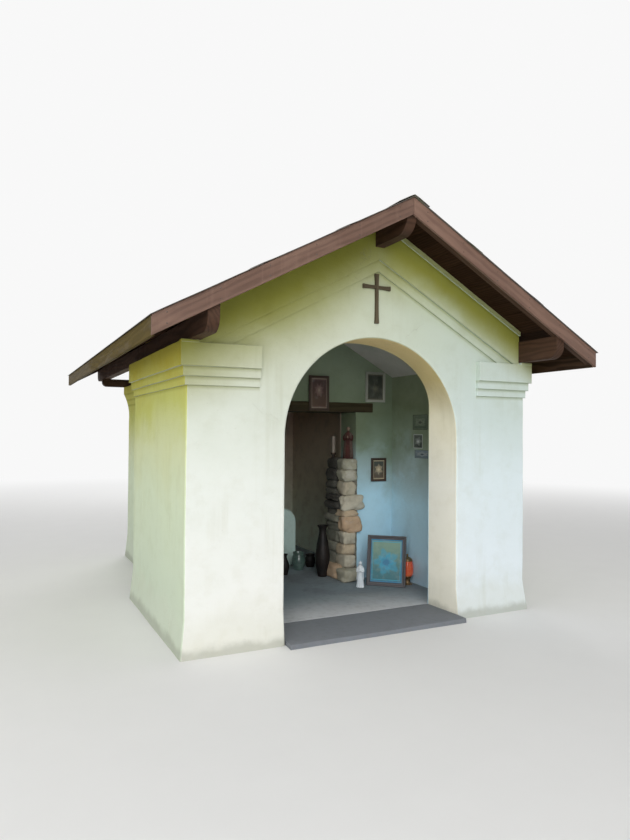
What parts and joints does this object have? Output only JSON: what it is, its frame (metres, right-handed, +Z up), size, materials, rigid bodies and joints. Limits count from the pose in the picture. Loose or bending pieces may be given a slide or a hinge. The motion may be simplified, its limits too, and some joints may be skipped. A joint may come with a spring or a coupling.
{
  "type": "small wayside chapel",
  "caption": "Small rendered wayside chapel with an open arched porch room, a narrower rear chamber and one gabled timber roof with wide eaves.",
  "frame": {"origin": "on the ground under the middle of the roof's plan", "axes": "+X to the right seen from the front, +Y from the front to the back, +Z up; the doorway faces -Y"},
  "size_m": [3.756, 4.906, 3.272],
  "materials": {
    "altar_lime": "whitewashed plaster",
    "barge_paint": "planed boards stained red-brown, weathered",
    "concrete": "worn grey concrete",
    "dark_timber": "softwood stained dark brown",
    "glazed_pot": "dark glazed pots",
    "lantern_glass": "red glass with a metal lid",
    "painted_plaster": "painted plaster figures",
    "paper": "printed cards",
    "picture_frame": "framed pictures, brown wood",
    "plaster": "grey-white lime plaster, matt",
    "render": "smooth lime render, cream, matt",
    "roof_felt": "dark mineral roofing felt",
    "rubble": "rough field stone in mortar",
    "wax": "pale candle wax"
  },
  "bodies": {
    "root": {"altar_block": "altar_lime", "back_gable": "render", "back_wall_left": "render", "back_wall_right": "render", "capital_left": "render", "capital_right": "render", "ceiling_left": "plaster", "ceiling_right": "plaster", "chamber_floor": "concrete", "chamber_wall_left": "render", "chamber_wall_right": "render", "eaves_board_left": "barge_paint", "eaves_board_right": "barge_paint", "eaves_purlin_left": "dark_timber", "eaves_purlin_right": "dark_timber", "floor_picture": "picture_frame", "front_barge_left": "barge_paint", "front_barge_right": "barge_paint", "front_gable": "render", "front_pier_left": "render", "front_pier_right": "render", "gable_cross": "dark_timber", "inner_lintel": "dark_timber", "lintel_picture": "picture_frame", "lower_picture": "picture_frame", "offering_pots": "glazed_pot", "pillar_candle": "wax", "rafters_left": "dark_timber", "rafters_right": "dark_timber", "raking_cornice_left": "render", "raking_cornice_right": "render", "rear_barge_left": "barge_paint", "rear_barge_right": "barge_paint", "rear_cross_beam": "dark_timber", "rear_wall": "render", "ridge_cap": "roof_felt", "ridge_purlin": "dark_timber", "robed_figure": "painted_plaster", "roof_boards_left": "dark_timber", "roof_boards_right": "dark_timber", "roof_cover_left": "roof_felt", "roof_cover_right": "roof_felt", "room_floor": "concrete", "side_wall_left": "render", "side_wall_right": "render", "stone_pillar_left": "rubble", "stone_pillar_right": "rubble", "tall_vase": "glazed_pot", "threshold": "concrete", "upper_picture": "picture_frame", "votive_lantern": "lantern_glass", "wall_cards": "paper", "white_figurine": "painted_plaster"}
  },
  "joints": []
}
